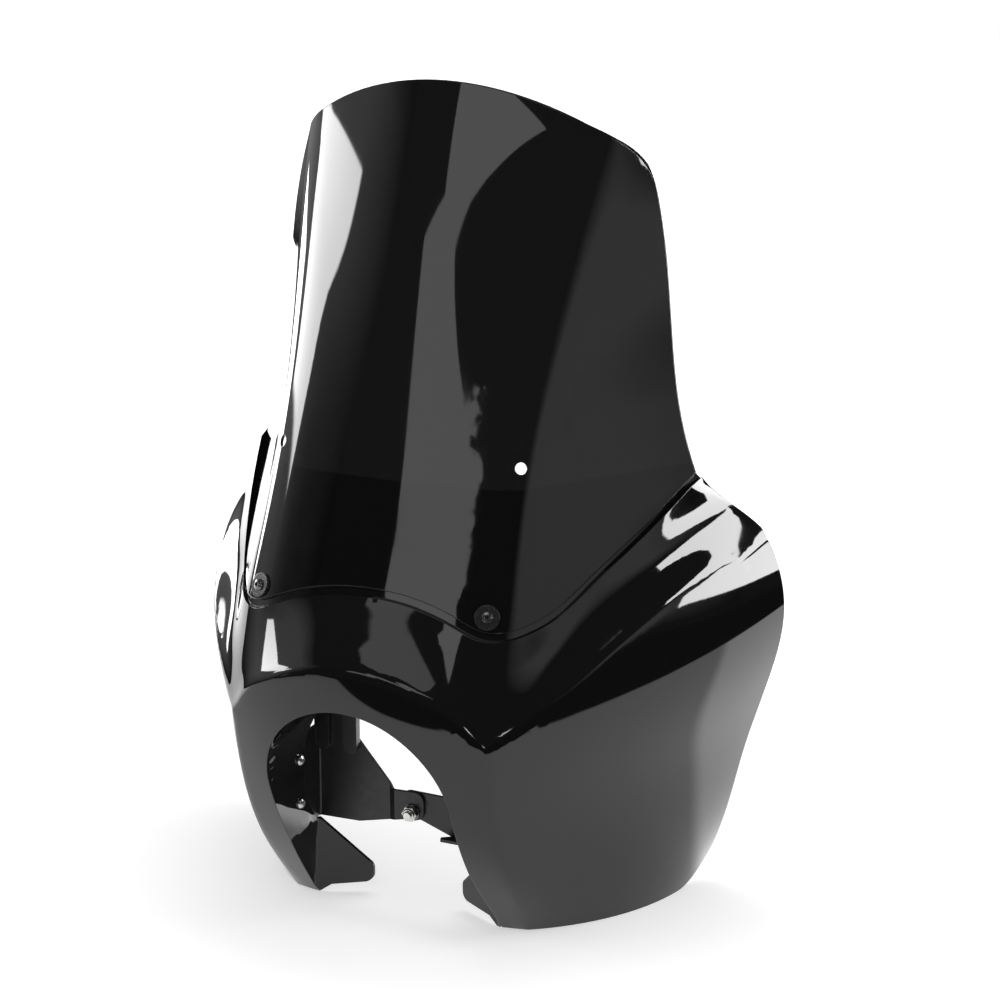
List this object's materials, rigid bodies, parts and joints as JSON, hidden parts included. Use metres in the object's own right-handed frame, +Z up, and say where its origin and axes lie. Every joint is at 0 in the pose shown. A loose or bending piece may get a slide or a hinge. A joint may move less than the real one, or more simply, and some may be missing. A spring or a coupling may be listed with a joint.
{
  "type": "motorcycle fairing",
  "caption": "Motorcycle front fairing: gloss black moulded shell round a headlamp opening, tall smoked windscreen, steel fork brackets and screws.",
  "frame": {"origin": "on the floor under the middle of the fairing's box, as it stands nose down on the shell's lower edges", "axes": "+X across to the rider's left, -Y to the front of the motorcycle, +Z up; the plane X = 0 is the plane of symmetry"},
  "size_m": [0.5822, 0.311, 0.753],
  "materials": {
    "gloss_black": "high-gloss black moulding",
    "smoked_screen": "smoked polycarbonate, polished",
    "bracket_black": "black powder coat, satin",
    "zinc_steel": "bright zinc plate",
    "black_steel": "black oxide",
    "rubber_black": "moulded rubber, matt"
  },
  "bodies": {
    "root": {"fairing_shell": "gloss_black", "windscreen": "smoked_screen", "centre_bolt": "zinc_steel", "centre_nut": "zinc_steel", "centre_rear_washer": "zinc_steel", "centre_front_washer": "black_steel", "left_bracket": "bracket_black", "left_screen_bush": "rubber_black", "left_screen_screw": "black_steel", "left_screen_washer": "zinc_steel", "left_screen_nut": "zinc_steel", "left_lower_flange_screw": "zinc_steel", "left_lower_flange_washer": "zinc_steel", "left_lower_flange_nut": "zinc_steel", "left_upper_flange_screw": "zinc_steel", "left_upper_flange_washer": "zinc_steel", "left_upper_flange_nut": "zinc_steel", "right_bracket": "bracket_black", "right_screen_bush": "rubber_black", "right_screen_screw": "black_steel", "right_screen_washer": "zinc_steel", "right_screen_nut": "zinc_steel", "right_lower_flange_screw": "zinc_steel", "right_lower_flange_washer": "zinc_steel", "right_lower_flange_nut": "zinc_steel", "right_upper_flange_screw": "zinc_steel", "right_upper_flange_washer": "zinc_steel", "right_upper_flange_nut": "zinc_steel"}
  },
  "joints": []
}
